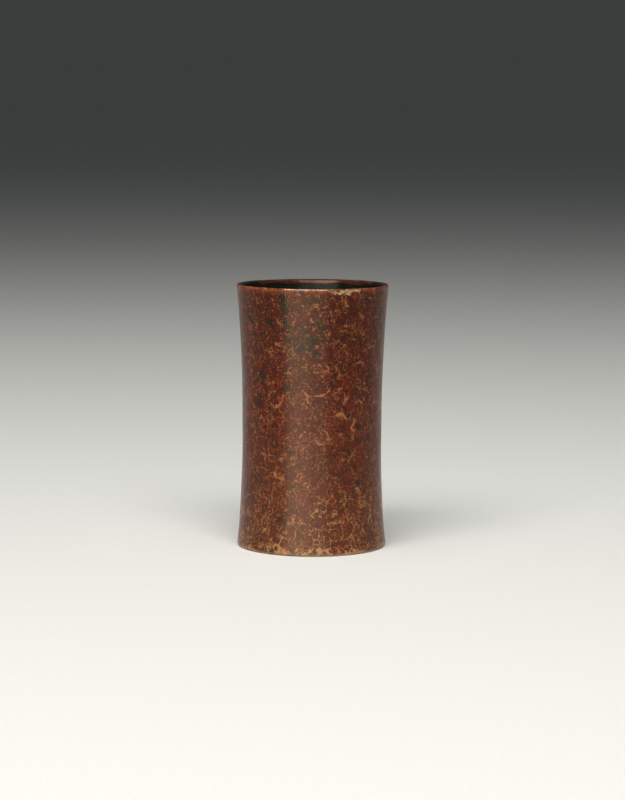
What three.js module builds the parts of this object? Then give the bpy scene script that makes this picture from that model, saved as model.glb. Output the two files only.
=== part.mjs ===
// A waisted spill holder in marbled lacquer, built as such a pot is: a turned wooden wall with a
// base board let into its foot, ramie cloth and a lacquer-and-ash ground over the wood, then marbled
// lacquer outside, a black lining inside, a brown lip and a black, recessed base.
// Millimetres, +Z up. The origin is the middle of the plane that the foot ring stands on.

import * as THREE from "three";

// Finished outside
const HEIGHT = 120;
const MOUTH_DIAMETER = 69.6;
const WAIST_DIAMETER = 63.9;
const FOOT_DIAMETER = 68.5;
const WAIST_HEIGHT = 48;
const MOUTH_FLARE = 2.5; // power of the curve that opens from the waist to the mouth
const FOOT_FLARE = 2; // power of the curve that opens from the waist to the foot

// Thickness of the wall's coats and of its wood, from the outside in
const MARBLED = 0.8;
const GROUND = 0.3;
const CLOTH = 0.3;
const WOOD = 2;
const LINING = 0.35;
const SEAM = 0.05; // gap that parts each coat from the next

// Lip
const LIP_ARRIS = 0.7; // how far the marbled coat draws in where it rounds over to the crest
const LIP_ROLL = 1.4; // height of that rounding, outside
const LIP_ROUND = 1; // height of the rounding from the crest to the inside
const LIP_COVER = 1; // depth of lacquer over the upper edge of the wood
const LIP_COAT = 0.35; // thickness of the lip's lacquer inside the mouth
const LIP_BAND = 1.9; // how far the lip's lacquer reaches down inside, from the crest
const LIP_WOOD = 0.8; // thickness that the wood thins to at its upper edge
const LIP_TAPER = 16; // height over which the wood thins

// Base
const RECESS = 1.8; // depth of the hollow under the base
const BASE_COAT = 0.4;
const BASE_GROUND = 0.3;
const BASE_CLOTH = 0.3;
const BOARD = 3; // thickness of the base board
const BOARD_CHAMFER = 0.4;
const BOARD_FIT = 0.1; // play of the board in its rebate
const REBATE_WALL = 1; // wood left outside the rebate, at the shoulder
const SHOULDER = 1.6; // width of the shoulder that the board is pushed up against
const COVE = 6; // height of the cove that rises from the shoulder to the bore
const FOOT_ARRIS = 0.6; // rounding of the marbled coat's lower outer edge
const FOOT_CHAMFER = 0.15; // broken edge of the black foot ring

// Facets
const SEGMENTS = 48;
const WALL_STEPS = 8;
const TAPER_STEPS = 2;
const BORE_STEPS = 4;
const COVE_STEPS = 3;
const ARC_STEPS = 4;

// Heights, from the standing plane up
const coatsFoot = BASE_COAT + SEAM; // lower edge of the wood and of the coats on the wall
const baseCoatTop = RECESS + BASE_COAT;
const baseGroundFoot = baseCoatTop + SEAM;
const baseGroundTop = baseGroundFoot + BASE_GROUND;
const baseClothFoot = baseGroundTop + SEAM;
const baseClothTop = baseClothFoot + BASE_CLOTH;
const boardFoot = baseClothTop + SEAM;
const boardTop = boardFoot + BOARD;
const shoulderFoot = boardTop + SEAM; // the lining's floor lies at the same height
const coveTop = shoulderFoot + COVE;
const woodTop = HEIGHT - LIP_COVER;
const taperFoot = woodTop - LIP_TAPER;
const bandFoot = HEIGHT - LIP_BAND; // lower edge of the lip's lacquer, inside
const liningTop = bandFoot - SEAM;

// Depths below the finished outside
const groundDepth = MARBLED + SEAM;
const clothDepth = groundDepth + GROUND + SEAM;
const woodDepth = clothDepth + CLOTH + SEAM;

/** Radius of the finished outside at height z. */
function outside(z) {
  const rising = z > WAIST_HEIGHT;
  const span = rising ? HEIGHT - WAIST_HEIGHT : WAIST_HEIGHT;
  const end = rising ? MOUTH_DIAMETER : FOOT_DIAMETER;
  const power = rising ? MOUTH_FLARE : FOOT_FLARE;
  const share = Math.abs(z - WAIST_HEIGHT) / span;
  return WAIST_DIAMETER / 2 + ((end - WAIST_DIAMETER) / 2) * share ** power;
}

/** Radius of the wood's inside at height z: it follows the outside, thins the lip and swells to the cove. */
function bore(z) {
  const thinned = (WOOD - LIP_WOOD) * THREE.MathUtils.clamp((z - taperFoot) / LIP_TAPER, 0, 1);
  const cove = SHOULDER * THREE.MathUtils.clamp((coveTop - z) / COVE, 0, 1) ** 2;
  return outside(z) - woodDepth - WOOD + thinned - cove;
}

/** Heights from one level to another, both included. */
function levels(from, to, steps) {
  return Array.from({ length: steps + 1 }, (_, i) => from + ((to - from) * i) / steps);
}

/** Points where the outside rounds over from a height by a rise, up or down, and draws in by a run. */
function roundedOver(start, rise, run) {
  return levels(0, Math.PI / 2, ARC_STEPS).map((a) => {
    const z = start + rise * Math.sin(a);
    return [outside(z) - run * (1 - Math.cos(a)), z];
  });
}

/** A face of the wall at a depth below the outside, as points that rise through the given heights. */
function wallFace(depth, heights) {
  return heights.map((z) => [outside(z) - depth, z]);
}

/** A face at an inset from the wood's bore, as points that rise through the given heights. */
function boreFace(inset, heights) {
  return heights.map((z) => [bore(z) - inset, z]);
}

/** A named solid of revolution from a profile of [radius, height] points, anticlockwise round its section. */
function turned(name, profile, material) {
  const onAxis = profile[0][0] === 0;
  const closed = onAxis ? profile : [...profile, profile[0]];
  const points = closed.map(([r, z]) => new THREE.Vector2(r, z));
  const mesh = new THREE.Mesh(new THREE.LatheGeometry(points, SEGMENTS), material);
  mesh.name = name;
  return mesh;
}

// Heights shared by the faces that lie against each other, so that their facets nest
const wallLevels = levels(coatsFoot, woodTop, WALL_STEPS);
const liningLevels = [
  ...levels(shoulderFoot, coveTop, COVE_STEPS),
  ...levels(coveTop, taperFoot, BORE_STEPS).slice(1),
  ...levels(taperFoot, liningTop, TAPER_STEPS).slice(1),
];
const lipLevels = [bandFoot, woodTop];

// Colours and finishes
const finish = (color, roughness) => new THREE.MeshStandardMaterial({ color, roughness, metalness: 0 });
const materials = {
  marbled: finish(0x6a2f1d, 0.32),
  black: finish(0x16191a, 0.25),
  lip: finish(0x5a2a1e, 0.3),
  ground: finish(0xb8a384, 0.9),
  cloth: finish(0xc2b490, 0.95),
  wood: finish(0xa98256, 0.8),
};

/** Radius of the side of the rebate in the foot, less an inset for what lies against it. */
function rebateSide(inset) {
  return outside(shoulderFoot) - woodDepth - REBATE_WALL - inset;
}

/** The wall's wood: a waisted tube with a thinned lip, and a rebate under a coved shoulder at its foot. */
function woodWall() {
  const inside = boreFace(0, [...liningLevels, ...lipLevels]).reverse();
  const foot = [
    [rebateSide(0), shoulderFoot],
    [rebateSide(0), coatsFoot],
  ];
  return turned("wood_wall", [...wallFace(woodDepth, wallLevels), ...inside, ...foot], materials.wood);
}

/** The base board: a chamfered disc that fills the rebate up to the shoulder. */
function baseBoard() {
  const edge = rebateSide(BOARD_FIT);
  const profile = [
    [0, boardFoot],
    [edge - BOARD_CHAMFER, boardFoot],
    [edge, boardFoot + BOARD_CHAMFER],
    [edge, boardTop],
    [0, boardTop],
  ];
  return turned("base_board", profile, materials.wood);
}

/** A coat on the wall's outside that ends square at the foot and under the lip. */
function wallCoat(name, depth, thickness, material) {
  const back = wallFace(depth + thickness, wallLevels).reverse();
  return turned(name, [...wallFace(depth, wallLevels), ...back], material);
}

/** A coat under the base board that laps down the side of the rebate and bridges the joint. */
function baseLap(name, inset, foot, thickness, material) {
  const edge = rebateSide(inset);
  const profile = [
    [0, foot],
    [edge - thickness, foot],
    [edge - thickness, coatsFoot],
    [edge, coatsFoot],
    [edge, foot + thickness],
    [0, foot + thickness],
  ];
  return turned(name, profile, material);
}

/** The marbled lacquer: the whole outside, rounded over at the lip and at the foot. */
function marbledCoat() {
  const low = coatsFoot + FOOT_ARRIS;
  const high = HEIGHT - LIP_ROLL;
  const faceLevels = wallLevels.filter((z) => z > low && z < high);
  const profile = [
    ...roundedOver(low, -FOOT_ARRIS, Math.min(FOOT_ARRIS, MARBLED)).reverse(),
    ...wallFace(0, faceLevels),
    ...roundedOver(high, LIP_ROLL, Math.min(LIP_ARRIS, MARBLED)),
    ...wallFace(MARBLED, [...wallLevels, HEIGHT]).reverse(),
  ];
  return turned("marbled_coat", profile, materials.marbled);
}

/** The lip's brown lacquer: it caps the wood, cloth and ground, and rounds over into the mouth. */
function lipCoat() {
  const crest = outside(HEIGHT) - groundDepth;
  const capFoot = woodTop + SEAM;
  const inner = bore(woodTop) - SEAM - LIP_COAT;
  const roll = levels(0, Math.PI / 2, ARC_STEPS).map((a) => [
    crest - (crest - inner) * Math.sin(a),
    HEIGHT - LIP_ROUND * (1 - Math.cos(a)),
  ]);
  const profile = [
    [outside(capFoot) - groundDepth, capFoot],
    ...roll,
    [bore(bandFoot) - SEAM - LIP_COAT, bandFoot],
    [bore(bandFoot) - SEAM, bandFoot],
    [bore(woodTop) - SEAM, capFoot],
  ];
  return turned("lip_coat", profile, materials.lip);
}

/** The black lining: floor, cove and wall of the inside, up to the lip's lacquer. */
function blackLining() {
  const floor = shoulderFoot;
  const back = boreFace(SEAM, liningLevels);
  const face = boreFace(SEAM + LINING, [floor + LINING, ...liningLevels.slice(1)]);
  const profile = [[0, floor], ...back, ...face.reverse(), [0, floor + LINING]];
  return turned("black_lining", profile, materials.black);
}

/** The black base coat: the hollow under the base, the inside of the foot ring and the ring's sole. */
function baseCoat() {
  const edge = rebateSide(SEAM + BASE_CLOTH + SEAM + BASE_GROUND + SEAM);
  const sole = outside(0) - Math.min(FOOT_ARRIS, MARBLED);
  const profile = [
    [0, RECESS],
    [edge - BASE_COAT, RECESS],
    [edge - BASE_COAT, FOOT_CHAMFER],
    [edge - BASE_COAT + FOOT_CHAMFER, 0],
    [sole - FOOT_CHAMFER, 0],
    [sole, FOOT_CHAMFER],
    [sole, BASE_COAT],
    [edge, BASE_COAT],
    [edge, baseCoatTop],
    [0, baseCoatTop],
  ];
  return turned("base_coat", profile, materials.black);
}

const spillHolder = new THREE.Group();
spillHolder.rotation.x = Math.PI / 2; // the pieces are turned about Y, and the part stands along Z
spillHolder.add(
  woodWall(),
  baseBoard(),
  wallCoat("wall_cloth", clothDepth, CLOTH, materials.cloth),
  wallCoat("wall_ground", groundDepth, GROUND, materials.ground),
  baseLap("base_cloth", SEAM, baseClothFoot, BASE_CLOTH, materials.cloth),
  baseLap("base_ground", SEAM + BASE_CLOTH + SEAM, baseGroundFoot, BASE_GROUND, materials.ground),
  marbledCoat(),
  lipCoat(),
  blackLining(),
  baseCoat(),
);

export default spillHolder;
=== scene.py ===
"""Looks of a waisted spill holder in marbled lacquer: its coats as fine meshes with their finishes, and a
plain stage. Lengths are in metres, in the frame of the solids, with the foot ring's sole at height 0.
Angles go round the pot from its front, which faces -Y, and are positive to the viewer's right.
"""

import math

import bpy
import numpy as np
from bpy.props import FloatProperty, FloatVectorProperty, IntProperty, PointerProperty
from mathutils import Matrix, Vector, noise


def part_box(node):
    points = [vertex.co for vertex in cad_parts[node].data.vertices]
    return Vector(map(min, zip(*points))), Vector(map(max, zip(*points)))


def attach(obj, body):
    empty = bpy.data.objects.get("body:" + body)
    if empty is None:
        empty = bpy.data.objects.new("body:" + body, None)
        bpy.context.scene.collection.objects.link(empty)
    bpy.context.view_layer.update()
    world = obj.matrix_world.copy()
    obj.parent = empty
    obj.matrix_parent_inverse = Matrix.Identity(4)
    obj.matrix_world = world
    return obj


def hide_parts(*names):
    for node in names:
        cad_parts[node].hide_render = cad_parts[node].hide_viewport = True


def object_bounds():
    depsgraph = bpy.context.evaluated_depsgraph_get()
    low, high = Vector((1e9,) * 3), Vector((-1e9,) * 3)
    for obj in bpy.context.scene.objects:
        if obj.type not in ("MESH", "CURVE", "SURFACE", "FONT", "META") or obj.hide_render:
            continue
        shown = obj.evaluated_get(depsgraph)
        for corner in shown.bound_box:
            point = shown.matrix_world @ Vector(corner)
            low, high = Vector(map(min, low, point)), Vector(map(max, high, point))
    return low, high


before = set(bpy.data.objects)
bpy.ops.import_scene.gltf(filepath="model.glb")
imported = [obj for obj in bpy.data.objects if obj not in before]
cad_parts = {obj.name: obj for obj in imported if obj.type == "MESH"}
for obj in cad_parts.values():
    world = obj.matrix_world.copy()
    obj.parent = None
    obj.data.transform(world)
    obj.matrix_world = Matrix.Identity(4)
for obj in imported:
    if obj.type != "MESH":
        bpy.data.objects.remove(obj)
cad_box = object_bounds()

bl_info = {
    "name": "Marbled lacquer spill holder",
    "version": (1, 0, 0),
    "blender": (4, 5, 0),
    "location": "3D View > Sidebar > Spill holder",
    "description": "Makes the coats of a marbled lacquer spill holder over its solids, and a plain stage",
    "category": "Object",
}

MM = 0.001
BODY = "root"

# Heights that come from the solids
TOP = cad_box[1].z
COAT_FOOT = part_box("marbled_coat")[0].z
FLOOR_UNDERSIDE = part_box("black_lining")[0].z
WOOD_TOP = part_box("wood_wall")[1].z
BASE_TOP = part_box("base_coat")[1].z

# Rings in each stretch of the fine meshes
ARRIS_RINGS = 8
WALL_RINGS = 152
WORN_RINGS = 18
ROLL_RINGS = 15
BACK_RINGS = 10
BAND_RINGS = 10
LINING_BACK_RINGS = 30
LINING_MOUTH_RINGS = 16
LINING_WALL_RINGS = 56
COVE_RINGS = 14
FLOOR_RINGS = 14
HOLLOW_RINGS = 12
FILLET_STEPS = 4

SEAM = 0.05 * MM  # gap between the lining and the wood
BAND_INSET = 0.1 * MM  # gap between the lip's lacquer and the wood, inside the mouth
BAND_SWELL = 0.06 * MM  # how far the lip's lacquer swells above its lower edge
TUCK = 0.07 * MM  # how far the lining draws back behind the lip's lacquer
TUCK_ZONE = (TOP - 7 * MM, TOP - 3.2 * MM)  # heights where that begins and where it is full
MOUTH_FOOT = TOP - 8 * MM  # height above which the lining's rings lie closer
LINING_TOP = WOOD_TOP - 0.3 * MM
WORN_FOOT = TOP - 4 * MM  # height above which the wall's rings lie closer
EDGE_ZONE = (TOP - 1.3 * MM, TOP - 0.75 * MM)  # heights where the worn edge begins and where it is full
WAVER_FOOT = 4 * MM  # height at which the wall's waver is full
FOOT_FILLET = 0.3 * MM  # rounding of the foot ring's edges
FLOOR_MIDDLE = 2 * MM  # radius of the innermost ring of the inside's floor
HOLLOW_MIDDLE = 1 * MM  # radius of the innermost ring under the base
HOLLOW_END = 0.88  # share of the hollow's radius that its flat rings fill
RING_START = 0.9  # share of the hollow's radius where the section of the foot ring starts
FILLET_LIMIT = 0.45  # share of a side that a rounding may take up
SHARP_TURN = math.radians(50)  # edges that turn further than this stay sharp
FLOOR_REACH = 30.0  # half the floor's width
CAMERA_REACH = 100.0  # how far the camera sees

# Waver of the hand-ground wall: lobes round the pot, rise of a wave in millimetres, phase and share
WALL_WAVES = ((3, 90, 0.4, 1.0), (5, -64, 2.1, 0.8), (9, 47, 4.0, 0.6), (14, -31, 1.2, 0.45))
# Waver of the lip's crest and of the brushed lower edge of its lacquer: lobes, phase and share
CREST_WAVES = ((2, 0.3, 1.0), (5, 1.9, 0.6), (11, 4.4, 0.4))
BAND_WAVES = ((3, 2.2, 0.5), (7, 0.5, 0.6), (13, 3.6, 1.0), (23, 1.1, 0.35))

# Black clouds in the marbling: angle in degrees, height and half sizes across and up in millimetres, depth
CLOUDS = (
    (-22.5, 116.0, 2.6, 3.0, 1.4), (-21.8, 111.0, 2.4, 4.6, 1.4), (-20.5, 104.0, 2.4, 5.5, 1.1),
    (-18.5, 96.5, 2.4, 5.0, 0.8), (-57.5, 105.2, 3.0, 2.8, 1.2), (-33.7, 105.1, 2.8, 2.6, 1.2),
    (-0.7, 115.1, 4.4, 2.0, 0.7), (5.2, 104.2, 3.2, 2.2, 1.1), (8.7, 103.0, 2.6, 1.8, 1.1),
    (-5.0, 101.0, 3.6, 3.0, 0.8), (-0.6, 96.8, 4.0, 3.6, 1.2), (-6.6, 93.8, 3.8, 3.6, 1.2),
    (2.5, 91.3, 2.6, 2.6, 1.2), (-6.0, 95.0, 10.0, 9.0, 0.5), (-43.7, 80.2, 2.6, 3.4, 1.5),
    (-19.5, 75.6, 2.6, 2.4, 0.7), (-46.7, 69.4, 2.8, 2.8, 0.8), (31.5, 63.3, 2.2, 2.2, 0.7),
    (39.7, 57.6, 3.0, 1.8, 0.9), (29.0, 46.7, 3.4, 2.2, 0.7), (40.3, 32.4, 2.6, 2.4, 0.9),
    (-27.4, 16.0, 2.2, 1.8, 0.9), (-8.3, 10.1, 2.0, 1.6, 0.8), (15.1, 4.9, 2.0, 1.4, 0.9),
    (78.0, 96.0, 3.0, 4.0, 1.2), (112.0, 71.0, 3.6, 2.6, 1.1), (141.0, 103.0, 2.8, 4.4, 1.4),
    (150.0, 99.0, 3.4, 2.6, 1.1), (176.0, 42.0, 2.6, 3.4, 1.1), (203.0, 88.0, 3.6, 3.0, 1.2),
    (214.0, 108.0, 2.8, 3.6, 1.4), (247.0, 60.0, 2.8, 3.2, 1.0), (268.0, 100.0, 3.6, 2.8, 1.2),
)
# Patches below the lip where the marbled coat is worn off, in the same measures
LOSSES = (
    (17.0, 118.8, 3.0, 1.5, 1.0), (21.5, 118.2, 2.2, 1.9, 1.0), (27.5, 118.5, 3.4, 1.7, 1.0),
    (36.0, 118.9, 2.2, 1.4, 1.0), (24.4, 118.9, 2.4, 1.1, 1.0), (32.0, 119.0, 2.2, 1.2, 0.9),
)
LOSS_SPAN = (9.0, 43.0)  # degrees between which the faces stand closer
LOSS_REACH = -0.6  # nearness from which a loss can crumble the coat
LOSS_CRUMBS = ((0.7, 1.2), (0.45, 0.5))  # shares and grains in millimetres of the crumbled edges
LOSS_EDGE = (0.2, 0.55)  # nearness where the coat begins to be lost and where it is gone
LOSS_LIMIT = 0.8  # share of the coat's thickness that a loss may take
FAR_OFF = -9.0  # nearness of points that lie near no place
# Places round the mouth where the lip's lacquer is painted black, at the two ends seen from the front as
# painted shade: angle and half width, in degrees, and the shares of the half width where the black begins
# and where it is full
LIP_DARK_PLACES = ((254.0, 24.0), (103.0, 19.0), (20.0, 9.0))
LIP_DARK_FADE = (1.4, 0.6)
LIP_DARK_TURN = (0.25, 0.75)  # shares of the way over the crest where that can begin and where it is full
# Bold curls of ochre: angle and height of the ring's middle and its radius, then angle and height of the
# part of the ring that shows and how far that part reaches, in degrees and millimetres
CURLS = (
    (3.0, 81.8, 9.6, 4.5, 73.2, 7.2),
    (-31.0, 70.8, 3.7, -32.0, 70.0, 4.6),
    (8.0, 54.0, 3.3, 9.0, 53.0, 4.4),
    (22.0, 60.2, 3.7, 24.7, 62.4, 3.6),
    (38.6, 58.1, 2.6, 34.0, 58.2, 3.0),
    (39.9, 67.3, 2.9, 44.0, 68.4, 3.2),
    (29.8, 69.2, 2.4, 26.5, 70.0, 2.6),
    (-27.0, 3.0, 1.6, -27.0, 3.0, 3.0),
)

# Sets of veins: size, width, seed, cover and strength, as veins() explains them
BROAD_VEINS = ((4.0, 0.28, 37.0, 0.34, 0.77), (6.0, 0.33, 71.0, 0.24, 0.83))
FINE_VEINS = ((1.3, 0.19, 29.0, 0.29, 0.65), (1.9, 0.21, 53.0, 0.29, 0.65), (2.7, 0.24, 11.0, 0.31, 0.75))
# Unevenness of the marbled coat: size of its humps in millimetres, detail and roughness
UNEVEN = {
    "body": (2.6, 5.0, 0.7),  # lighter and deeper red-brown
    "fray": (2.2, 3.0, 0.6),  # ragged edges of the clouds
    "gather": (8.0, 2.0, 0.5),  # places where veins gather
    "spread": (3.5, 3.0, 0.6),  # places where ochre swells or gives out
    "grit": (1.3, 4.0, 0.75),  # dirt on the bare ground, and the curls' thickness
    "rub": (0.9, 1.0, 0.5),  # ochre along the worn lip
    "polish": (5.0, 5.0, 0.7),  # duller and glossier places
    "dips": (1.4, 2.0, 0.5),  # relief that the grinding left
}
# Other sizes in the marbling, in millimetres
SWAY_SIZE = 4.0  # distance between the slow bends of its lines
SWAY_REACH = 3.5  # how far those bend
TWIST_SIZE = 1.6  # distance between the quick bends of the net, the flecks and the curls
TANGLE_REACH = 1.3  # how far those bend in the net and the flecks
CURL_REACH = 2.0  # how far they bend in the curls
CRIMSON_SIZE = 5.0
COOL_SIZE = 3.6  # plum and olive patches
CELL_SIZE = 4.4
FLECK_SIZE = 2.4
SPECK_SIZE = 1.4
DRAWN_UP = (1.0, 1.0, 0.88)  # stretch that draws the veins out a little up and down

# Sizes in the other finishes, in millimetres
MOTTLE_SIZE = 1.8  # spots on the lip
HAZE_SIZE = 6.0  # rubbed places on the black lacquer
SOLE_EDGE = (32.9, 33.5)  # radii between which the sole is painted paler and paler, as a painted reflection of the pale floor
FIBRE_SIZE = 0.6
GROWTH_SIZE = 3.8  # distance between the wood's growth rings
THREAD_SIZE = 0.6  # distance between the cloth's threads
ASH_SIZE = 0.4
TOOTH_SIZE = 1.5  # coarser than the tooth of real paper, which is too fine to show
LIP_STROKES = (0.12, 0.12, 2.2)  # stretch that draws brush marks out to about 8 by 0.5 mm
BLACK_STROKES = (0.06, 0.06, 1.1)  # the same to about 17 by 0.9 mm
ALONG_GRAIN = (1.0, 1.0, 0.05)  # stretch that draws fibres out to 20 times their width
WAVE_REPEAT = math.pi / 10  # length after which a wave texture of scale 1 repeats

# Lights: angle in degrees, then distance out, height, width, tallness and height of what each is aimed at
LIGHTS = (
    ("softbox", -25.0, 2.0, 1.2, 1.45, 0.5, 0.06),
    ("softbox_side", 8.5, 2.0, 1.2, 0.96, 0.5, 0.06),
    ("front_light", -8.0, 1.3, 1.6, 2.2, 1.0, 0.05),
    ("top_light", -20.0, 0.3, 1.4, 1.1, 1.1, 0.0),
)

# Kinds of shader node with their settings. EASE takes a value, the two ends between which it is eased, and
# what it gives at each, which is 0 and 1 where that is left out.
NOISE = ("ShaderNodeTexNoise", {})
CELLS = ("ShaderNodeTexVoronoi", {})
CELL_EDGES = ("ShaderNodeTexVoronoi", {"feature": "DISTANCE_TO_EDGE"})
GROWTH_RINGS = ("ShaderNodeTexWave", {"wave_type": "RINGS", "rings_direction": "X"})
WARP, WEFT = [("ShaderNodeTexWave", {"bands_direction": axis}) for axis in ("X", "Z")]
EASE = ("ShaderNodeMapRange", {"interpolation_type": "SMOOTHSTEP"})
ADD, SUBTRACT, MULTIPLY, MULTIPLY_ADD, LARGER, UNSIGNED = [
    ("ShaderNodeMath", {"operation": name})
    for name in ("ADD", "SUBTRACT", "MULTIPLY", "MULTIPLY_ADD", "MAXIMUM", "ABSOLUTE")
]
MOVE, MOVE_BACK, STRETCH, STRETCH_MOVE, DISTANCE, LENGTH = [
    ("ShaderNodeVectorMath", {"operation": name})
    for name in ("ADD", "SUBTRACT", "MULTIPLY", "MULTIPLY_ADD", "DISTANCE", "LENGTH")
]
CLOUD_MARK, LOSS_MARK, EDGE_MARK, LIP_DARK_MARK = [
    ("ShaderNodeAttribute", {"attribute_name": name}) for name in ("cloud", "loss", "edge", "thin")
]
COORDINATES = ("ShaderNodeTexCoord", {})
SPLIT_VECTOR = ("ShaderNodeSeparateXYZ", {})
SPLIT_COLOUR = ("ShaderNodeSeparateColor", {})
MIX_COLOURS = ("ShaderNodeMix", {"data_type": "RGBA"})
BUMP = ("ShaderNodeBump", {})
ROUND_POT = ("ShaderNodeTangent", {"direction_type": "RADIAL", "axis": "Z"})
GLOSS_SURFACE = ("ShaderNodeBsdfPrincipled", {})
MATERIAL_OUTPUT = ("ShaderNodeOutputMaterial", {})
AIR = ("ShaderNodeBackground", {})
WORLD_OUTPUT = ("ShaderNodeOutputWorld", {})


def linear(code):
    """An sRGB hex colour as linear RGBA."""
    shares = [(code >> shift & 255) / 255 for shift in (16, 8, 0)]
    return (*[c / 12.92 if c <= 0.04045 else ((c + 0.055) / 1.055) ** 2.4 for c in shares], 1.0)


def number(name, description, default, **settings):
    """A number that the sidebar shows."""
    return FloatProperty(name=name, description=description, default=default, **settings)


def length(name, description, millimetres):
    """A size that the sidebar shows as a length."""
    return number(name, description, millimetres * MM, subtype="DISTANCE", unit="LENGTH", precision=5)


def colour(name, description, code):
    """A colour that the sidebar shows as a swatch."""
    return FloatVectorProperty(name=name, description=description, default=linear(code),
                               size=4, min=0.0, max=1.0, subtype="COLOR")


class PotSizes(bpy.types.PropertyGroup):
    """Sizes of the pot and of its hand-made unevenness"""

    mouth: length("Mouth", "Diameter of the outside at the mouth", 69.6)
    waist: length("Waist", "Diameter of the outside at the waist", 63.9)
    foot: length("Foot", "Diameter of the outside at the foot", 68.5)
    waist_height: length("Waist height", "Height of the waist above the sole", 48)
    mouth_flare: number("Mouth flare", "Power of the curve up to the mouth", 2.5, min=1.0)
    foot_flare: number("Foot flare", "Power of the curve down to the foot", 2.0, min=1.0)
    marbled: length("Marbled coat", "Thickness of the marbled lacquer", 0.8)
    wall: length("Wall", "Thickness of the coats outside and the wood together", 3.55)
    lining: length("Lining", "How far the face of the black lining stands in from the wood", 0.4)
    shoulder: length("Shoulder", "How far the inside swells at the floor", 1.6)
    cove: length("Cove", "Height of the cove above the floor", 6)
    lip_thinning: length("Lip thinning", "How much thinner the wood is at the lip", 1.2)
    lip_taper: length("Lip taper", "Height over which the wood thins", 16)
    lip_arris: length("Lip arris", "How far the outside draws in where it rounds over to the crest", 0.7)
    lip_roll: length("Lip roll", "Height of the rounding outside the crest", 1.4)
    lip_round: length("Lip round", "Height of the rounding inside the crest", 1.0)
    lip_band: length("Lip band", "How far the lip's lacquer reaches down inside", 2.0)
    foot_arris: length("Foot arris", "Rounding of the lower outer edge", 0.6)
    recess: length("Recess", "Depth of the hollow under the base", 1.8)
    ring_inside: length("Ring inside", "Radius of the hollow under the base", 30.0)
    base_coat: length("Base coat", "Thickness of the black lacquer under the base", 0.4)
    wall_waver: length("Wall waver", "How far the hand-ground wall dips", 0.22)
    crest_waver: length("Crest waver", "How far the crest of the lip dips", 0.12)
    band_waver: length("Band waver", "How far the brushed edge of the lip's lacquer strays", 0.6)
    loss_depth: length("Loss depth", "Depth of the worn-off patches below the lip", 0.45)
    around: IntProperty(name="Around", description="Faces round the pot", default=400, min=96)


class PotColours(bpy.types.PropertyGroup):
    """Colours of the lacquers and of what lies under them"""

    lacquer: colour("Red-brown", "Body of the marbled lacquer", 0x5A1F14)
    deep: colour("Deep brown", "Shaded body of the marbled lacquer", 0x36130A)
    crimson: colour("Crimson", "Redder patches in the marbling", 0x5E1612)
    plum: colour("Plum", "Cooler patches in the marbling", 0x482026)
    olive: colour("Olive", "Greener patches in the marbling", 0x382611)
    ember: colour("Ember", "Orange-brown round the veins and along the lip", 0x843D10)
    # Partly the lacquer's own lighter tone, partly a painted reflection of the pale floor
    tawny_and_floor_haze: colour("Tawny", "Lighter body towards the foot", 0x7C543C)
    vein: colour("Ochre", "Curled veins of the marbling", 0xA26B43)
    pale: colour("Pale ochre", "Brighter veins at the foot", 0xAF8054)
    cloud: colour("Cloud black", "Black clouds in the marbling", 0x1A1C15)
    sheen: colour("Sheen", "Tint of the gloss, which the coats below warm", 0xFFE6D0)
    # Also the colour of the painted reflection of the pale floor along the foot and the sole
    ground: colour("Ground", "Ash-and-lacquer ground where the coats are lost", 0xBDA389)
    lip: colour("Lip brown", "Plain lacquer of the lip", 0x4C2C22)
    lining: colour("Lining black", "Black lacquer inside", 0x151C15)
    base: colour("Base black", "Black lacquer under the base", 0x181716)
    rubbed: colour("Rubbed black", "Black lacquer where it is rubbed thin", 0x4A3428)
    cloth: colour("Ramie", "Cloth under the ground", 0xC2B490)
    wood: colour("Wood", "Turned wood of the core", 0xA98256)
    grain: colour("Grain", "Late wood of the core's grain", 0x7C5634)


class StageSettings(bpy.types.PropertyGroup):
    """The camera, the floor and the lights"""

    distance: length("Camera distance", "From the pot's axis to the camera, along the floor", 1065.3)
    height: length("Camera height", "Height of the camera above the floor", 194.3)
    aside: length("Camera aside", "How far the camera stands to the right", 0.2)
    dip: number("Camera dip", "How far the camera looks down", math.radians(6.831),
                subtype="ANGLE", unit="ROTATION")
    roll: number("Camera roll", "How far the camera is turned about its view", math.radians(0.332),
                 subtype="ANGLE", unit="ROTATION")
    focal: number("Focal length", "Focal length in millimetres", 105.4, unit="CAMERA")
    floor: colour("Floor", "Pale paper floor", 0xF0EFE8)
    horizon: colour("Horizon", "Light from the horizon, as dark as the far floor", 0x3B3D3D)
    zenith: colour("Zenith", "Light from straight above", 0x424548)
    warm: colour("Softbox tint", "Tint of the softbox that the gloss shows", 0xFFF2D8)
    softbox: number("Softbox", "Power of the softbox that the gloss shows", 102.0, unit="POWER")
    softbox_side: number("Softbox side", "Power of the softbox's dimmer side", 33.0, unit="POWER")
    front_light: number("Front light", "Power of the broad light in front", 41.0, unit="POWER")
    top_light: number("Top light", "Power of the soft light above", 6.5, unit="POWER")


def outside(sizes, z):
    """Radius of the finished outside at heights z."""
    rising = z > sizes.waist_height
    span = np.where(rising, TOP - sizes.waist_height, sizes.waist_height)
    spread = (np.where(rising, sizes.mouth, sizes.foot) - sizes.waist) / 2
    power = np.where(rising, sizes.mouth_flare, sizes.foot_flare)
    return sizes.waist / 2 + spread * (np.abs(z - sizes.waist_height) / span) ** power


def bore(sizes, z):
    """Radius of the wood's inside at heights z: it thins the lip and swells to a cove above the floor."""
    thinned = sizes.lip_thinning * np.clip((z - WOOD_TOP) / sizes.lip_taper + 1, 0, 1)
    cove = sizes.shoulder * np.clip((FLOOR_UNDERSIDE - z) / sizes.cove + 1, 0, 1) ** 2
    return outside(sizes, z) - sizes.wall + thinned - cove


def at_angle(degrees, radius, height):
    """The point at an angle from the front, a distance from the axis and a height."""
    turn = math.radians(degrees)
    return (radius * math.sin(turn), -radius * math.cos(turn), height)


def on_wall(sizes, degrees, height):
    """A point of the outside at a height, both in millimetres."""
    return at_angle(degrees, float(outside(sizes, height * MM)) / MM, height)


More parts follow.
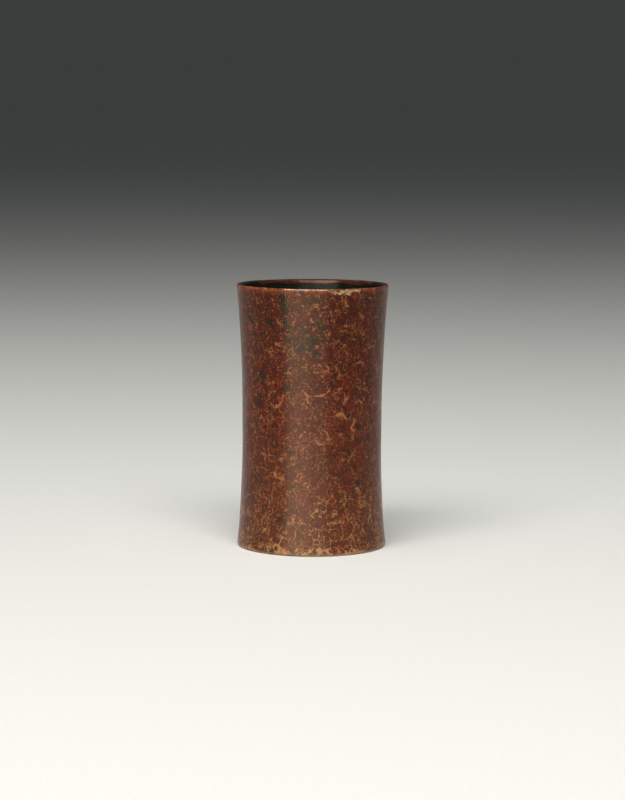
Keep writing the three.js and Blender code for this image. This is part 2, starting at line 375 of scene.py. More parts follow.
def smooth_step(low, high, values):
    """Eases values from 0 at low to 1 at high."""
    share = np.clip((values - low) / (high - low), 0, 1)
    return share * share * (3 - 2 * share)


def waves(angles, pattern):
    """A wander round the pot that closes on itself, from 0 to 1."""
    total = sum(share * np.sin(lobes * angles + phase) for lobes, phase, share in pattern)
    return 0.5 + 0.5 * total / sum(wave[-1] for wave in pattern)


def wall_dip(sizes, angles, z):
    """How far the ground wall lies inside its true shape, as a grid of heights by angles."""
    climbing = [
        (lobes, 2 * math.pi * z[:, None] / (rise * MM) + phase, share)
        for lobes, rise, phase, share in WALL_WAVES
    ]
    kept = smooth_step(COAT_FOOT, WAVER_FOOT, z) * smooth_step(TOP, TOP - sizes.lip_roll, z)
    return sizes.wall_waver * kept[:, None] * waves(angles, climbing)


def angles_round(sizes, close=None):
    """Angles of the faces round a piece; between two degrees they may stand three times as close."""
    if close is None:
        return np.linspace(0, 2 * math.pi, sizes.around, endpoint=False)
    start, stop = np.radians(close)
    count = round(sizes.around * (stop - start) / (2 * math.pi))
    return np.concatenate([
        np.linspace(start, stop, 3 * count, endpoint=False),
        np.linspace(stop, start + 2 * math.pi, sizes.around - count, endpoint=False),
    ])


def turned_from(angles, degrees):
    """How far angles lie round from an angle in degrees, from -pi to pi."""
    return (angles - math.radians(degrees) + math.pi) % (2 * math.pi) - math.pi


def rings(radius, z, angles):
    """Points of rings, as a grid; radii and heights are one value a ring or one for each point."""
    shape = (len(radius), len(angles))
    radius = np.broadcast_to(np.reshape(radius, (shape[0], -1)), shape)
    z = np.broadcast_to(np.reshape(z, (shape[0], -1)), shape)
    return np.stack([radius * np.sin(angles), -radius * np.cos(angles), z], -1)


def filleted(corners, radius):
    """A line of [radius, height] corners whose inner corners are rounded off, as two arrays."""
    corners = np.array(corners)
    line = [corners[0]]
    for before, here, after in zip(corners, corners[1:], corners[2:]):
        to_before, to_after = before - here, after - here
        start = here + to_before * min(FILLET_LIMIT, radius / np.linalg.norm(to_before))
        stop = here + to_after * min(FILLET_LIMIT, radius / np.linalg.norm(to_after))
        for share in np.linspace(0, 1, FILLET_STEPS + 1):
            line.append((1 - share) ** 2 * start + 2 * share * (1 - share) * here + share**2 * stop)
    line.append(corners[-1])
    return np.array(line).T


def make_piece(name, grid, stands_for, material, on_axis=False):
    """Joins rings, anticlockwise round the section, into a closed piece that stands for a solid.

    With on_axis the section starts and ends on the axis, at the heights of its end rings.
    """
    count, around = grid.shape[:2]
    points = grid.reshape(-1, 3)
    index = np.arange(count * around).reshape(count, around)
    path = index if on_axis else np.vstack([index, index[:1]])
    low, high = path[:-1], path[1:]
    faces = np.stack([low, np.roll(low, -1, 1), np.roll(high, -1, 1), high], -1).reshape(-1, 4).tolist()
    if on_axis:
        points = np.vstack([points, [[0, 0, grid[0, 0, 2]], [0, 0, grid[-1, 0, 2]]]])
        first, last = index[0], index[-1]
        faces += [[count * around, b, a] for a, b in zip(first, np.roll(first, -1))]
        faces += [[count * around + 1, a, b] for a, b in zip(last, np.roll(last, -1))]
    mesh = bpy.data.meshes.new(name)
    mesh.from_pydata(points.tolist(), [], faces)
    mesh.shade_smooth()
    mesh.set_sharp_from_angle(angle=SHARP_TURN)
    mesh.materials.append(material)
    piece = bpy.data.objects.new(name, mesh)
    bpy.context.scene.collection.objects.link(piece)
    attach(piece, BODY)
    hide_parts(stands_for)
    return piece


def mark(piece, name, values):
    """Stores a number at each point of a piece for its material to read."""
    layer = piece.data.attributes.new(name, "FLOAT", "POINT")
    layer.data.foreach_set("value", np.ascontiguousarray(values, np.float32).ravel())


def nearness(sizes, angles, z, places):
    """How near each point of a grid is to the nearest oval place: 0 at its edge, its depth in its middle."""
    near = np.full((len(z), len(angles)), FAR_OFF)
    for degrees, height, across, up, depth in places:
        aside = turned_from(angles, degrees) * outside(sizes, z)[:, None] / (across * MM)
        above = (z[:, None] - height * MM) / (up * MM)
        near = np.maximum(near, depth * (1 - np.hypot(aside, above)))
    return near


def crumbled(grid, grain):
    """Smooth noise at the points of a grid, in grains of a size in metres."""
    return np.array([[noise.noise(Vector(point / grain)) for point in ring] for ring in grid])


def worn_off(sizes, angles, z, grid):
    """How far the coat is lost at each point of a grid, from 0 to 1, with crumbled edges."""
    loss = nearness(sizes, angles, z, LOSSES)
    near = np.ix_((loss > LOSS_REACH).any(1), (loss > LOSS_REACH).any(0))
    loss[near] += sum(share * crumbled(grid[near], grain * MM) for share, grain in LOSS_CRUMBS)
    return smooth_step(*LOSS_EDGE, loss)


def lip_darkness(angles):
    """How far the lip's lacquer is painted black round the mouth, from 0 to 1, as painted shade at the ends.
    """
    thin = np.zeros(len(angles))
    for degrees, half in LIP_DARK_PLACES:
        begins, full = np.radians(half * np.array(LIP_DARK_FADE))
        thin = np.maximum(thin, smooth_step(begins, full, np.abs(turned_from(angles, degrees))))
    return thin


def node(tree, kind, inputs=(), out=0):
    """Adds a node of a kind, sets or links its inputs and gives one of its outputs.

    Inputs are given in the node's own order or, in a dict, by their names or numbers.
    """
    type_name, settings = kind
    made = tree.nodes.new(type_name)
    for key, value in settings.items():
        setattr(made, key, value)
    for key, value in inputs.items() if isinstance(inputs, dict) else enumerate(inputs):
        if isinstance(value, bpy.types.NodeSocket):
            tree.links.new(value, made.inputs[key])
        else:
            made.inputs[key].default_value = value
    return made.outputs[out] if made.outputs else None


def new_material(name):
    """An empty material and its node tree."""
    material = bpy.data.materials.new(name)
    material.use_nodes = True
    material.node_tree.nodes.clear()
    return material, material.node_tree


def finish_surface(tree, paint, rough, relief, depth, polished=False, **plain):
    """Ends a material in a gloss surface with a colour, a roughness and a relief of a depth in metres.

    Where it was polished round and round, the fine marks draw its gloss out up and down.
    """
    normal = node(tree, BUMP, {"Height": relief, "Strength": 1.0, "Distance": depth})
    inputs = {"Base Color": paint, "Roughness": rough, "Normal": normal, "IOR": 1.5}
    if polished:
        inputs.update({"Tangent": node(tree, ROUND_POT), "Anisotropic": 0.95, "Anisotropic Rotation": 0.25})
    inputs.update({key.replace("_", " "): value for key, value in plain.items()})
    node(tree, MATERIAL_OUTPUT, {"Surface": node(tree, GLOSS_SURFACE, inputs)})


def millimetres(tree, stretch=(1.0, 1.0, 1.0)):
    """The piece's own coordinates in millimetres, which a stretch below 1 draws out along an axis."""
    place = node(tree, COORDINATES, out="Object")
    return node(tree, STRETCH, (place, tuple(share / MM for share in stretch)))


def laid_over(tree, paint, coats):
    """Lays coats of colour over a colour in turn, each by its share.

    A share is a node's output, or what EASE takes.
    """
    for share, coat in coats:
        if isinstance(share, tuple):
            share = node(tree, EASE, share)
        paint = node(tree, MIX_COLOURS, {0: share, 6: paint, 7: coat}, out=2)
    return paint


def veins(tree, where, more, size, width, seed, cover, strength):
    """Contour lines of an uneven coat that was ground flat, broken where the coat was missed.

    size is the distance between humps and width the line's, in millimetres; seed moves this coat away from
    others; cover is the share of the lines that is left, to which more adds from place to place, and
    strength is how much they hide. Gives the share of the wider, fainter band where the coat thins out and
    the share of the line.
    """
    moved = node(tree, MOVE, (where, (seed, -seed, 2 * seed)))
    coat = node(tree, NOISE, {"Vector": moved, "Scale": 1 / size, "Detail": 1.0, "Roughness": 0.4,
                              "Distortion": 0.3})
    depth = node(tree, UNSIGNED, (node(tree, SUBTRACT, (coat, 0.5)),))
    rise = 0.3 * width / size  # how much the coat usually rises over a line's width
    band = node(tree, EASE, (depth, 0.4 * rise, 2.0 * rise, 0.5 * strength, 0.0))
    line = node(tree, EASE, (depth, 0.2 * rise, 0.7 * rise, strength, 0.0))
    missed = node(tree, NOISE, {"Vector": moved, "Scale": 0.8 / size, "Detail": 2.0, "Roughness": 0.55})
    missed = node(tree, ADD, (missed, more))
    level = 0.5 + 0.34 * (0.5 - cover)  # about the share cover of the noise lies above it
    kept = node(tree, EASE, (missed, level - 0.03, level + 0.06))
    return [node(tree, MULTIPLY, (share, kept)) for share in (band, line)]


def foot_net(tree, tangle, height, spread):
    """Share of ochre along the edges of cells, which fill the foot and thin out upwards."""
    edges = node(tree, CELL_EDGES, {"Vector": tangle, "Scale": 1 / CELL_SIZE})
    edges = node(tree, MULTIPLY_ADD, (spread, -0.16, edges))
    held = node(tree, ADD, (node(tree, EASE, (height, 1.0, 32.0, 0.15, -0.02)), spread))
    line = node(tree, EASE, (edges, -0.076, -0.044, 1.0, 0.0))
    return node(tree, MULTIPLY, (line, node(tree, EASE, (held, 0.54, 0.66, 0.0, 0.7))))


def flecks(tree, tangle, height, spread):
    """Share of ochre in flecks, which lie thickest along the foot."""
    humps = node(tree, NOISE, {"Vector": tangle, "Scale": 1 / FLECK_SIZE, "Detail": 3.0, "Roughness": 0.62})
    humps = node(tree, ADD, (humps, node(tree, EASE, (height, 0.0, 9.0, 0.08, -0.2))))
    humps = node(tree, MULTIPLY_ADD, (spread, 0.35, humps))
    return node(tree, EASE, (humps, 0.75, 0.8, 0.0, 0.9))


def specks(tree, bent, height):
    """Share of ochre in small specks, of which there are more towards the mouth."""
    dots = node(tree, CELLS, {"Vector": bent, "Scale": 1 / SPECK_SIZE})
    chosen = node(tree, SPLIT_COLOUR, (dots.node.outputs["Color"],))
    chosen = node(tree, ADD, (chosen, node(tree, EASE, (height, 40.0, 115.0, 0.0, 0.2))))
    speck = node(tree, EASE, (dots, 0.1, 0.24, 0.7, 0.0))
    return node(tree, MULTIPLY, (speck, node(tree, EASE, (chosen, 0.68, 0.7))))


def bold_curls(tree, sizes, where, wander, spread, grit):
    """Share of ochre in the bold curls: parts of wandering rings, broken and uneven in thickness."""
    curls = 0.0
    for degrees, level, radius, seen_degrees, seen_level, reach in CURLS:
        away = node(tree, DISTANCE, (wander, on_wall(sizes, degrees, level)), out="Value")
        off = node(tree, UNSIGNED, (node(tree, SUBTRACT, (away, radius)),))
        off = node(tree, MULTIPLY_ADD, (grit, -1.4, off))
        line = node(tree, EASE, (off, -0.5, -0.2, 0.85, 0.0))
        seen = node(tree, DISTANCE, (where, on_wall(sizes, seen_degrees, seen_level)), out="Value")
        seen = node(tree, EASE, (seen, 0.7 * reach, reach, 1.0, 0.0))
        curls = node(tree, LARGER, (curls, node(tree, MULTIPLY, (line, seen))))
    return node(tree, MULTIPLY, (curls, node(tree, EASE, (spread, 0.33, 0.45))))


def marbled_lacquer(sizes, colours):
    """Many uneven coats of coloured lacquer, ground flat and polished round and round.

    The eye sees curled, broken ochre contour lines at several sizes on a cloudy red-brown, closer and joined
    into cells at the foot, with black clouds, an edge worn to ochre at the lip, and a soft gloss that the
    fine marks of polishing draw out up and down the wall.
    """
    material, tree = new_material("lacquer_marbled_ground_flat")
    where = millimetres(tree)
    height = node(tree, SPLIT_VECTOR, (where,), out="Z")
    uneven = {
        name: node(tree, NOISE, {"Vector": where, "Scale": 1 / size, "Detail": detail, "Roughness": crisp})
        for name, (size, detail, crisp) in UNEVEN.items()
    }
    spread, grit = uneven["spread"], uneven["grit"]

    # The patterns lie in coordinates that are bent, so that nothing runs straight
    middle = (0.5, 0.5, 0.5)
    sway = node(tree, NOISE, {"Vector": where, "Scale": 1 / SWAY_SIZE, "Detail": 2.0}, out="Color")
    sway = node(tree, MOVE_BACK, (sway, middle))
    bent = node(tree, STRETCH_MOVE, (sway, (SWAY_REACH,) * 3, where))
    drawn = node(tree, STRETCH, (bent, DRAWN_UP))
    twist = node(tree, NOISE, {"Vector": where, "Scale": 1 / TWIST_SIZE, "Detail": 1.0}, out="Color")
    tangle = node(tree, STRETCH_MOVE, (twist, (TANGLE_REACH,) * 3, drawn))
    wander = node(tree, MOVE_BACK, (twist, middle))
    wander = node(tree, STRETCH_MOVE, (wander, (CURL_REACH,) * 3, bent))

    patchy = {"Vector": bent, "Detail": 3.0, "Roughness": 0.6}
    crimson = node(tree, NOISE, {**patchy, "Scale": 1 / CRIMSON_SIZE})
    cool = node(tree, NOISE, {**patchy, "Scale": 1 / COOL_SIZE}, out="Color")
    plum, olive = [node(tree, SPLIT_COLOUR, (cool,), out=share) for share in ("Red", "Blue")]
    cloud = node(tree, MULTIPLY_ADD, (uneven["fray"], 1.1, node(tree, CLOUD_MARK, out="Fac")))
    gather = node(tree, EASE, (uneven["gather"], 0.3, 0.7, -0.035, 0.035))
    broad = node(tree, ADD, (gather, node(tree, EASE, (height, 0.0, 110.0, 0.08, -0.05))))
    fine = node(tree, ADD, (gather, node(tree, EASE, (height, 0.0, 110.0, -0.02, 0.01))))

    edge = node(tree, EDGE_MARK, out="Fac")
    rubbed = node(tree, MULTIPLY, (edge, node(tree, EASE, (uneven["rub"], 0.5, 0.64))))
    warmed = node(tree, MULTIPLY, (node(tree, EASE, (height, 116.5, 119.2, 0.0, 0.75)),
                                   node(tree, EASE, (spread, 0.38, 0.56))))
    bare = node(tree, EASE, (node(tree, LOSS_MARK, out="Fac"), 0.2, 0.75))
    soiled = laid_over(tree, colours.deep, [
        ((grit, 0.34, 0.46), colours.vein),
        ((grit, 0.42, 0.64), colours.ground),
    ])

    ochre = laid_over(tree, colours.pale, [((height, 0.0, 60.0), colours.vein)])
    ochres = (colours.ember, ochre)
    paint = laid_over(tree, colours.deep, [
        ((uneven["body"], 0.41, 0.59), colours.lacquer),
        ((crimson, 0.52, 0.66, 0.0, 0.8), colours.crimson),
        ((plum, 0.54, 0.7, 0.0, 0.55), colours.plum),
        ((olive, 0.54, 0.68, 0.0, 0.75), colours.olive),
        # Lighter, greyer body towards the foot: partly the lacquer's own tone, partly a painted reflection
        # of the pale floor
        ((height, 0.0, 80.0, 0.23, 0.0), colours.tawny_and_floor_haze),
        ((height, 55.0, 115.0, 0.0, 0.5), colours.deep),
        *[coat for vein in BROAD_VEINS for coat in zip(veins(tree, drawn, broad, *vein), ochres)],
        ((cloud, 0.4, 1.4, 0.0, 0.92), colours.cloud),
        *[coat for vein in FINE_VEINS for coat in zip(veins(tree, drawn, fine, *vein), ochres)],
        (foot_net(tree, tangle, height, spread), ochre),
        (flecks(tree, tangle, height, spread), ochre),
        (bold_curls(tree, sizes, where, wander, spread, grit), ochre),
        (specks(tree, bent, height), ochre),
        ((cloud, 0.6, 1.7, 0.0, 0.65), colours.cloud),
        (warmed, colours.ember),
        (rubbed, ochre),
        # Painted reflection of the pale floor on the foot's lower edge, in the colour of the bare ground
        ((height, 0.5, 1.5, 0.45, 0.0), colours.ground),
        (bare, soiled),
    ])

    # The bare ground and the worn edge are dull, but handling leaves a thin gloss on the edge
    gloss = node(tree, EASE, (uneven["polish"], 0.3, 0.7, 0.33, 0.40))
    handled = node(tree, MULTIPLY, (edge, node(tree, EASE, (bare, 0.0, 0.3, 0.8, 0.0))))
    rough = node(tree, MULTIPLY_ADD, (node(tree, LARGER, (bare, edge)), 0.45, gloss))
    finish_surface(tree, paint, rough, uneven["dips"], depth=0.006 * MM, polished=True,
                   Specular_IOR_Level=0.25, Specular_Tint=colours.sheen, Coat_Weight=handled,
                   Coat_Roughness=0.14, Coat_IOR=1.5, Sheen_Weight=0.08, Sheen_Roughness=0.3,
                   Sheen_Tint=colours.sheen)
    return material


def lip_lacquer(colours):
    """Plain brown lacquer, brushed on and rubbed by use.

    The eye sees streaks round the mouth, paler and duller spots, and black painted over the brown in places,
    which at the ends of the mouth seen from the front is painted shade.
    """
    material, tree = new_material("lacquer_brown_brushed")
    strokes = node(tree, NOISE, {"Vector": millimetres(tree, LIP_STROKES), "Scale": 1.0, "Detail": 3.0})
    mottle = node(tree, NOISE, {"Vector": millimetres(tree), "Scale": 1 / MOTTLE_SIZE, "Detail": 3.0,
                                "Roughness": 0.65})
    # thin: where the brown is painted black, as painted shade at the ends of the mouth seen from the front
    thin = node(tree, MULTIPLY_ADD, (mottle, 0.8, node(tree, LIP_DARK_MARK, out="Fac")))
    paint = laid_over(tree, colours.deep, [
        ((strokes, 0.3, 0.6), colours.lip),
        ((mottle, 0.56, 0.7, 0.0, 0.3), colours.vein),
        ((thin, 0.7, 1.1, 0.0, 0.9), colours.lining),
    ])
    rough = node(tree, EASE, (mottle, 0.3, 0.7, 0.26, 0.34))
    finish_surface(tree, paint, rough, strokes, depth=0.01 * MM, polished=True, Specular_IOR_Level=0.21,
                   Specular_Tint=colours.sheen)
    return material


def sole_floor_reflection(tree, where, haze):
    """Share of the sole painted as a reflection of the pale floor, most along its outer edge."""
    height = node(tree, SPLIT_VECTOR, (where,), out="Z")
    away = node(tree, LENGTH, (millimetres(tree, (1.0, 1.0, 0.0)),), out="Value")
    outer = node(tree, EASE, (away, *SOLE_EDGE, 0.3, 1.0))
    reflected_share = node(tree, MULTIPLY, (outer, node(tree, EASE, (height, 0.4, 0.7, 0.95, 0.0))))
    return node(tree, MULTIPLY, (reflected_share, node(tree, EASE, (haze, 0.3, 0.5))))


def black_lacquer(name, shade, colours, stands=False):
    """Black lacquer, brushed round and left glossy.

    The eye sees faint streaks and hazy, rubbed places and, on the base, the sole's outer edge painted
    paler as a painted reflection of the pale floor.
    """
    material, tree = new_material(name)
    where = millimetres(tree)
    strokes = node(tree, NOISE, {"Vector": millimetres(tree, BLACK_STROKES), "Scale": 1.0, "Detail": 4.0,
                                 "Roughness": 0.6})
    haze = node(tree, NOISE, {"Vector": where, "Scale": 1 / HAZE_SIZE, "Detail": 5.0, "Roughness": 0.68})
    paint = laid_over(tree, shade, [((haze, 0.42, 0.62, 0.0, 0.1), colours.rubbed)])
    # On the base, a painted reflection of the pale floor along the sole, in the colour of the bare ground
    if stands:
        paint = laid_over(tree, paint, [(sole_floor_reflection(tree, where, haze), colours.ground)])
    rough = node(tree, EASE, (haze, 0.3, 0.7, 0.32, 0.42))
    finish_surface(tree, paint, rough, strokes, depth=0.006 * MM, polished=True, Specular_IOR_Level=0.05)
    return material


def turned_wood(colours):
    """Softwood, turned: growth rings 3.8 mm apart seen along the grain, dull and slightly ridged."""
    material, tree = new_material("softwood_turned")
    along = millimetres(tree, ALONG_GRAIN)
    fibre = node(tree, NOISE, {"Vector": along, "Scale": 1 / FIBRE_SIZE, "Detail": 4.0})
    growth = node(tree, GROWTH_RINGS, {"Vector": along, "Scale": WAVE_REPEAT / GROWTH_SIZE,
                                       "Distortion": 3.0, "Detail": 2.0}, out="Fac")
    paint = laid_over(tree, colours.wood, [
        ((growth, 0.55, 0.95, 0.0, 0.8), colours.grain),
        ((fibre, 0.5, 0.8, 0.0, 0.4), colours.grain),
    ])
    finish_surface(tree, paint, node(tree, EASE, (fibre, 0.3, 0.7, 0.6, 0.8)), fibre, depth=0.04 * MM)
    return material


def ramie_cloth(colours):
    """Ramie, plain woven and stiffened with lacquer: threads 0.6 mm apart, pale on brown gaps."""
    material, tree = new_material("ramie_plain_woven")
    lie = {"Vector": millimetres(tree), "Scale": WAVE_REPEAT / THREAD_SIZE, "Distortion": 0.6}
    weave = node(tree, LARGER, [node(tree, threads, lie, out="Fac") for threads in (WARP, WEFT)])
    paint = laid_over(tree, colours.rubbed, [((weave, 0.4, 0.8), colours.cloth)])
    finish_surface(tree, paint, node(tree, EASE, (weave, 0.0, 1.0, 0.95, 0.8)), weave, depth=0.1 * MM)
    return material


def ash_ground(colours):
    """Lacquer filled with ash, trowelled and rubbed down: a dry, gritty buff with darker pits."""
    material, tree = new_material("ash_ground_rubbed")
    grit = node(tree, NOISE, {"Vector": millimetres(tree), "Scale": 1 / ASH_SIZE, "Detail": 4.0,
                              "Roughness": 0.7})
    paint = laid_over(tree, colours.rubbed, [((grit, 0.25, 0.5), colours.ground)])
    finish_surface(tree, paint, node(tree, EASE, (grit, 0.3, 0.7, 0.95, 0.8)), grit, depth=0.05 * MM)
    return material


def paper_floor(shade):
    """Matt backdrop paper: an even pale tone with the faintest tooth."""
    material, tree = new_material("paper_matt")
    tooth = node(tree, NOISE, {"Vector": millimetres(tree), "Scale": 1 / TOOTH_SIZE, "Detail": 2.0})
    darker = tuple(0.97 * share for share in shade[:3]) + (1.0,)
    paint = laid_over(tree, darker, [((tooth, 0.3, 0.7), shade)])
    rough = node(tree, EASE, (tooth, 0.0, 1.0, 0.9, 1.0))
    finish_surface(tree, paint, rough, tooth, depth=0.01 * MM, Specular_IOR_Level=0.1)
    return material


class SPILL_OT_marbled_coat(bpy.types.Operator):
    """Makes the marbled lacquer of the outside, ground by hand and worn off in patches below the lip"""

    bl_idname = "spill_holder.marbled_coat"
    bl_label = "Marbled lacquer"

    def execute(self, context):
        sizes, colours = context.scene.pot_sizes, context.scene.pot_colours
        angles = angles_round(sizes, close=LOSS_SPAN)
        arris_top, roll_foot = COAT_FOOT + sizes.foot_arris, TOP - sizes.lip_roll
        turn_in = np.linspace(math.pi / 2, 0, ARRIS_RINGS)
        turn_over = np.linspace(0, math.pi / 2, ROLL_RINGS)
        z = np.concatenate([
            arris_top - sizes.foot_arris * np.sin(turn_in),
            np.linspace(arris_top, WORN_FOOT, WALL_RINGS)[1:],
            np.linspace(WORN_FOOT, roll_foot, WORN_RINGS)[1:-1],
            roll_foot + sizes.lip_roll * np.sin(turn_over),
        ])
        drawn_in = np.zeros(len(z))
        drawn_in[:ARRIS_RINGS] = sizes.foot_arris * (1 - np.cos(turn_in))
        drawn_in[-ROLL_RINGS:] = sizes.lip_arris * (1 - np.cos(turn_over))
        face = outside(sizes, z) - drawn_in

        lost = worn_off(sizes, angles, z, rings(face, z, angles))
        room = LOSS_LIMIT * (sizes.marbled - drawn_in)[:, None]
        radius = face[:, None] - wall_dip(sizes, angles, z) - np.minimum(sizes.loss_depth * lost, room)
        crest = sizes.crest_waver * waves(angles, CREST_WAVES)
        height = z[:, None] - crest * np.clip((z - roll_foot) / sizes.lip_roll, 0, 1)[:, None]

        back_z = np.linspace(TOP, COAT_FOOT, BACK_RINGS)
        back = rings(outside(sizes, back_z) - sizes.marbled, back_z, angles)
        back[0, :, 2] -= crest
        grid = np.concatenate([rings(radius, height, angles), back])
        piece = make_piece("marbled_lacquer_skin", grid, "marbled_coat",
                           marbled_lacquer(sizes, colours))
        none = np.zeros((len(back_z), len(angles)))
        edge = np.broadcast_to(smooth_step(*EDGE_ZONE, z)[:, None], lost.shape)
        mark(piece, "cloud", np.concatenate([nearness(sizes, angles, z, CLOUDS), none + FAR_OFF]))
        mark(piece, "loss", np.concatenate([lost, none]))
        mark(piece, "edge", np.concatenate([edge, none]))
        return {"FINISHED"}


class SPILL_OT_lip_coat(bpy.types.Operator):
    """Makes the brown lacquer of the lip, whose brushed lower edge strays inside the mouth"""

    bl_idname = "spill_holder.lip_coat"
    bl_label = "Lip lacquer"

    def execute(self, context):
        sizes, colours = context.scene.pot_sizes, context.scene.pot_colours
        angles = angles_round(sizes)
        turn = np.linspace(0, math.pi / 2, ROLL_RINGS)
        crest = float(outside(sizes, TOP)) - sizes.marbled
        inner = float(bore(sizes, WOOD_TOP)) - sizes.lining
        round_foot = TOP - sizes.lip_round
        roll_r = crest - (crest - inner) * np.sin(turn)
        roll_z = TOP - sizes.lip_round * (1 - np.cos(turn))
        dip = sizes.crest_waver * waves(angles, CREST_WAVES)
        dip = dip * ((roll_z - round_foot) / sizes.lip_round)[:, None]
        roll = rings(roll_r, roll_z[:, None] - dip, angles)

        band_foot = TOP - sizes.lip_band + sizes.band_waver * (2 * waves(angles, BAND_WAVES) - 1)
        share = np.linspace(0, 1, BAND_RINGS)[1:, None]
        face_z = round_foot + (band_foot - round_foot) * share
        swell = BAND_SWELL * (1 - share**4)
        face = rings(bore(sizes, face_z) - sizes.lining - swell, face_z, angles)
        back_z = np.stack([band_foot, np.full(len(angles), round_foot)])
        back = rings(bore(sizes, back_z) - BAND_INSET, back_z, angles)
        cap = rings([float(outside(sizes, WOOD_TOP)) - sizes.marbled], [WOOD_TOP], angles)
        piece = make_piece("lip_lacquer_band", np.concatenate([cap, roll, face, back]), "lip_coat",
                           lip_lacquer(colours))
        inside = np.ones(len(face) + len(back))
        inward = np.concatenate([[0.0], smooth_step(*LIP_DARK_TURN, np.sin(turn)), inside])
        # Where the lip is painted black, as painted shade at the ends of the mouth seen from the front
        mark(piece, "thin", inward[:, None] * lip_darkness(angles))
        return {"FINISHED"}


class SPILL_OT_black_lining(bpy.types.Operator):
    """Makes the black lining: floor, cove and wall of the inside"""

    bl_idname = "spill_holder.black_lining"
    bl_label = "Black lining"

    def execute(self, context):
        sizes, colours = context.scene.pot_sizes, context.scene.pot_colours
        angles = angles_round(sizes)
        cove_top, floor = FLOOR_UNDERSIDE + sizes.cove, FLOOR_UNDERSIDE + sizes.lining - SEAM
        back_z = np.linspace(FLOOR_UNDERSIDE, LINING_TOP, LINING_BACK_RINGS)
        back_r = bore(sizes, back_z) - SEAM
        face_z = np.concatenate([
            np.linspace(LINING_TOP, MOUTH_FOOT, LINING_MOUTH_RINGS),
            np.linspace(MOUTH_FOOT, cove_top, LINING_WALL_RINGS)[1:],
            np.linspace(cove_top, floor, COVE_RINGS)[1:],
        ])
        face_r = bore(sizes, face_z) - sizes.lining + TUCK * smooth_step(*TUCK_ZONE, face_z)
        floor_r = np.linspace(face_r[-1], FLOOR_MIDDLE, FLOOR_RINGS)[1:]
        floor_z = np.full(len(floor_r), floor)
        radius = np.concatenate([back_r[:1] / 2, back_r, face_r, floor_r])
        z = np.concatenate([back_z[:1], back_z, face_z, floor_z])
        grid = rings(radius, z, angles)
        make_piece("inside_black_lacquer", grid, "black_lining",
                   black_lacquer("lacquer_black_brushed_inside", colours.lining, colours), on_axis=True)
        return {"FINISHED"}


class SPILL_OT_base_coat(bpy.types.Operator):
    """Makes the black lacquer under the base, with its hollow and a painted floor reflection on the sole"""

    bl_idname = "spill_holder.base_coat"
    bl_label = "Base lacquer"

    def execute(self, context):
        sizes, colours = context.scene.pot_sizes, context.scene.pot_colours
        sole = sizes.foot / 2 - sizes.foot_arris
        inside = sizes.ring_inside
        near_ring = RING_START * inside
        corners = [
            (near_ring, sizes.recess), (inside, sizes.recess), (inside, 0), (sole, 0),
            (sole, sizes.base_coat), (inside + sizes.base_coat, sizes.base_coat),
            (inside + sizes.base_coat, BASE_TOP), (near_ring, BASE_TOP),
        ]
        radius, z = filleted(corners, FOOT_FILLET)
        under_r = np.linspace(HOLLOW_MIDDLE, HOLLOW_END * inside, HOLLOW_RINGS)
        radius = np.concatenate([under_r, radius, [inside / 2]])
        z = np.concatenate([np.full(len(under_r), sizes.recess), z, [BASE_TOP]])
        grid = rings(radius, z, angles_round(sizes))
        finish = black_lacquer("lacquer_black_brushed_base", colours.base, colours, stands=True)
        make_piece("base_black_lacquer", grid, "base_coat", finish, on_axis=True)
        return {"FINISHED"}


class SPILL_OT_hidden_coats(bpy.types.Operator):
    """Finishes the solids under the lacquer: turned wood, ramie cloth and ash ground"""

    bl_idname = "spill_holder.hidden_coats"
    bl_label = "Wood, cloth and ground"

    def execute(self, context):
        colours = context.scene.pot_colours
        finishes = {
            turned_wood(colours): ("wood_wall", "base_board"),
            ramie_cloth(colours): ("wall_cloth", "base_cloth"),
            ash_ground(colours): ("wall_ground", "base_ground"),
        }
        for material, names in finishes.items():
            for name in names:
                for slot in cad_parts[name].material_slots:
                    slot.material = material
        return {"FINISHED"}


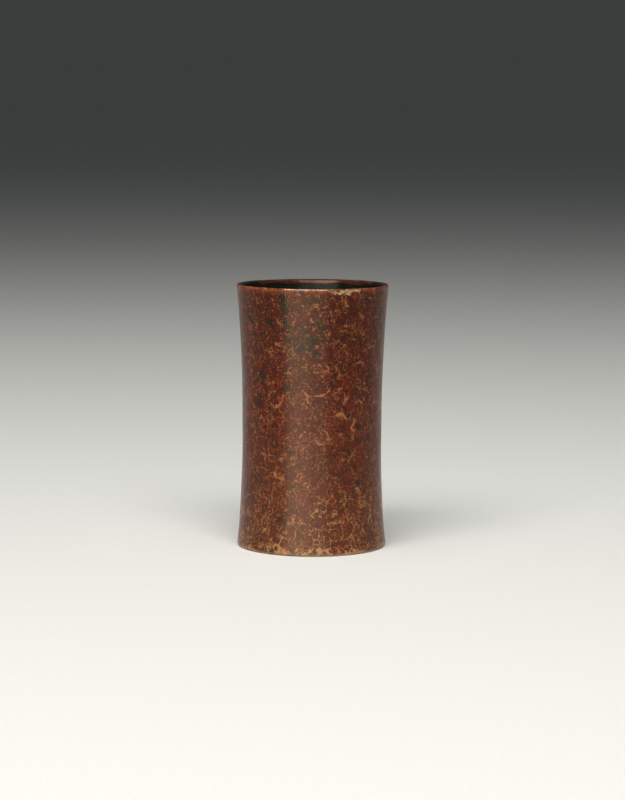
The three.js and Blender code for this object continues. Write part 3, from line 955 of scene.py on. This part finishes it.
class SPILL_OT_stage(bpy.types.Operator):
    """Makes the pale floor, the camera and the soft lights"""

    bl_idname = "spill_holder.stage"
    bl_label = "Stage"

    def execute(self, context):
        scene, stage = context.scene, context.scene.pot_stage
        scene.view_settings.view_transform = "Standard"

        mesh = bpy.data.meshes.new("paper_floor")
        corners = [(-1, -1), (1, -1), (1, 1), (-1, 1)]
        mesh.from_pydata([(x * FLOOR_REACH, y * FLOOR_REACH, 0) for x, y in corners], [], [(0, 1, 2, 3)])
        mesh.materials.append(paper_floor(stage.floor))
        floor = bpy.data.objects.new("paper_floor", mesh)
        scene.collection.objects.link(floor)

        camera = bpy.data.objects.new("camera", bpy.data.cameras.new("camera"))
        camera.data.lens = stage.focal
        camera.data.clip_end = CAMERA_REACH
        turn = Matrix.Rotation(math.pi / 2 - stage.dip, 4, "X") @ Matrix.Rotation(stage.roll, 4, "Z")
        camera.matrix_world = Matrix.Translation((stage.aside, -stage.distance, stage.height)) @ turn
        scene.collection.objects.link(camera)
        scene.camera = camera

        for name, degrees, out, height, width, tall, aim in LIGHTS:
            lamp = bpy.data.lights.new(name, "AREA")
            lamp.shape = "RECTANGLE"
            lamp.size = width
            lamp.size_y = tall
            lamp.energy = getattr(stage, name)
            light = bpy.data.objects.new(name, lamp)
            light.location = at_angle(degrees, out, height)
            view = Vector((0, 0, aim)) - light.location
            light.rotation_euler = view.to_track_quat("-Z", "Y").to_euler()
            light.visible_camera = False
            if name.startswith("softbox"):
                lamp.color = stage.warm[:3]
                light.visible_diffuse = False
            scene.collection.objects.link(light)

        world = bpy.data.worlds.new("air")
        world.use_nodes = True
        tree = world.node_tree
        tree.nodes.clear()
        toward = node(tree, COORDINATES, out="Generated")
        upward = node(tree, SPLIT_VECTOR, (toward,), out="Z")
        shade = laid_over(tree, stage.horizon, [((upward, 0.0, 1.0), stage.zenith)])
        node(tree, WORLD_OUTPUT, {"Surface": node(tree, AIR, {"Color": shade})})
        scene.world = world
        return {"FINISHED"}


GROUPS = {"pot_sizes": PotSizes, "pot_colours": PotColours, "pot_stage": StageSettings}
OPERATORS = (
    SPILL_OT_marbled_coat,
    SPILL_OT_lip_coat,
    SPILL_OT_black_lining,
    SPILL_OT_base_coat,
    SPILL_OT_hidden_coats,
    SPILL_OT_stage,
)


class SPILL_PT_pot(bpy.types.Panel):
    """Lists the pieces of the pot and the values that they are made from"""

    bl_idname = "SPILL_PT_pot"
    bl_label = "Spill holder"
    bl_space_type = "VIEW_3D"
    bl_region_type = "UI"
    bl_category = "Spill holder"

    def draw(self, context):
        for operator in OPERATORS:
            self.layout.operator(operator.bl_idname)
        for key, group in GROUPS.items():
            box = self.layout.box()
            for name in group.__annotations__:
                box.prop(getattr(context.scene, key), name)


CLASSES = (*GROUPS.values(), *OPERATORS, SPILL_PT_pot)


def register():
    for kind in CLASSES:
        bpy.utils.register_class(kind)
    for key, group in GROUPS.items():
        setattr(bpy.types.Scene, key, PointerProperty(type=group))


def unregister():
    for key in GROUPS:
        delattr(bpy.types.Scene, key)
    for kind in reversed(CLASSES):
        bpy.utils.unregister_class(kind)


def main():
    register()
    bpy.ops.spill_holder.marbled_coat()
    bpy.ops.spill_holder.lip_coat()
    bpy.ops.spill_holder.black_lining()
    bpy.ops.spill_holder.base_coat()
    bpy.ops.spill_holder.hidden_coats()
    bpy.ops.spill_holder.stage()


if __name__ == "__main__":
    main()
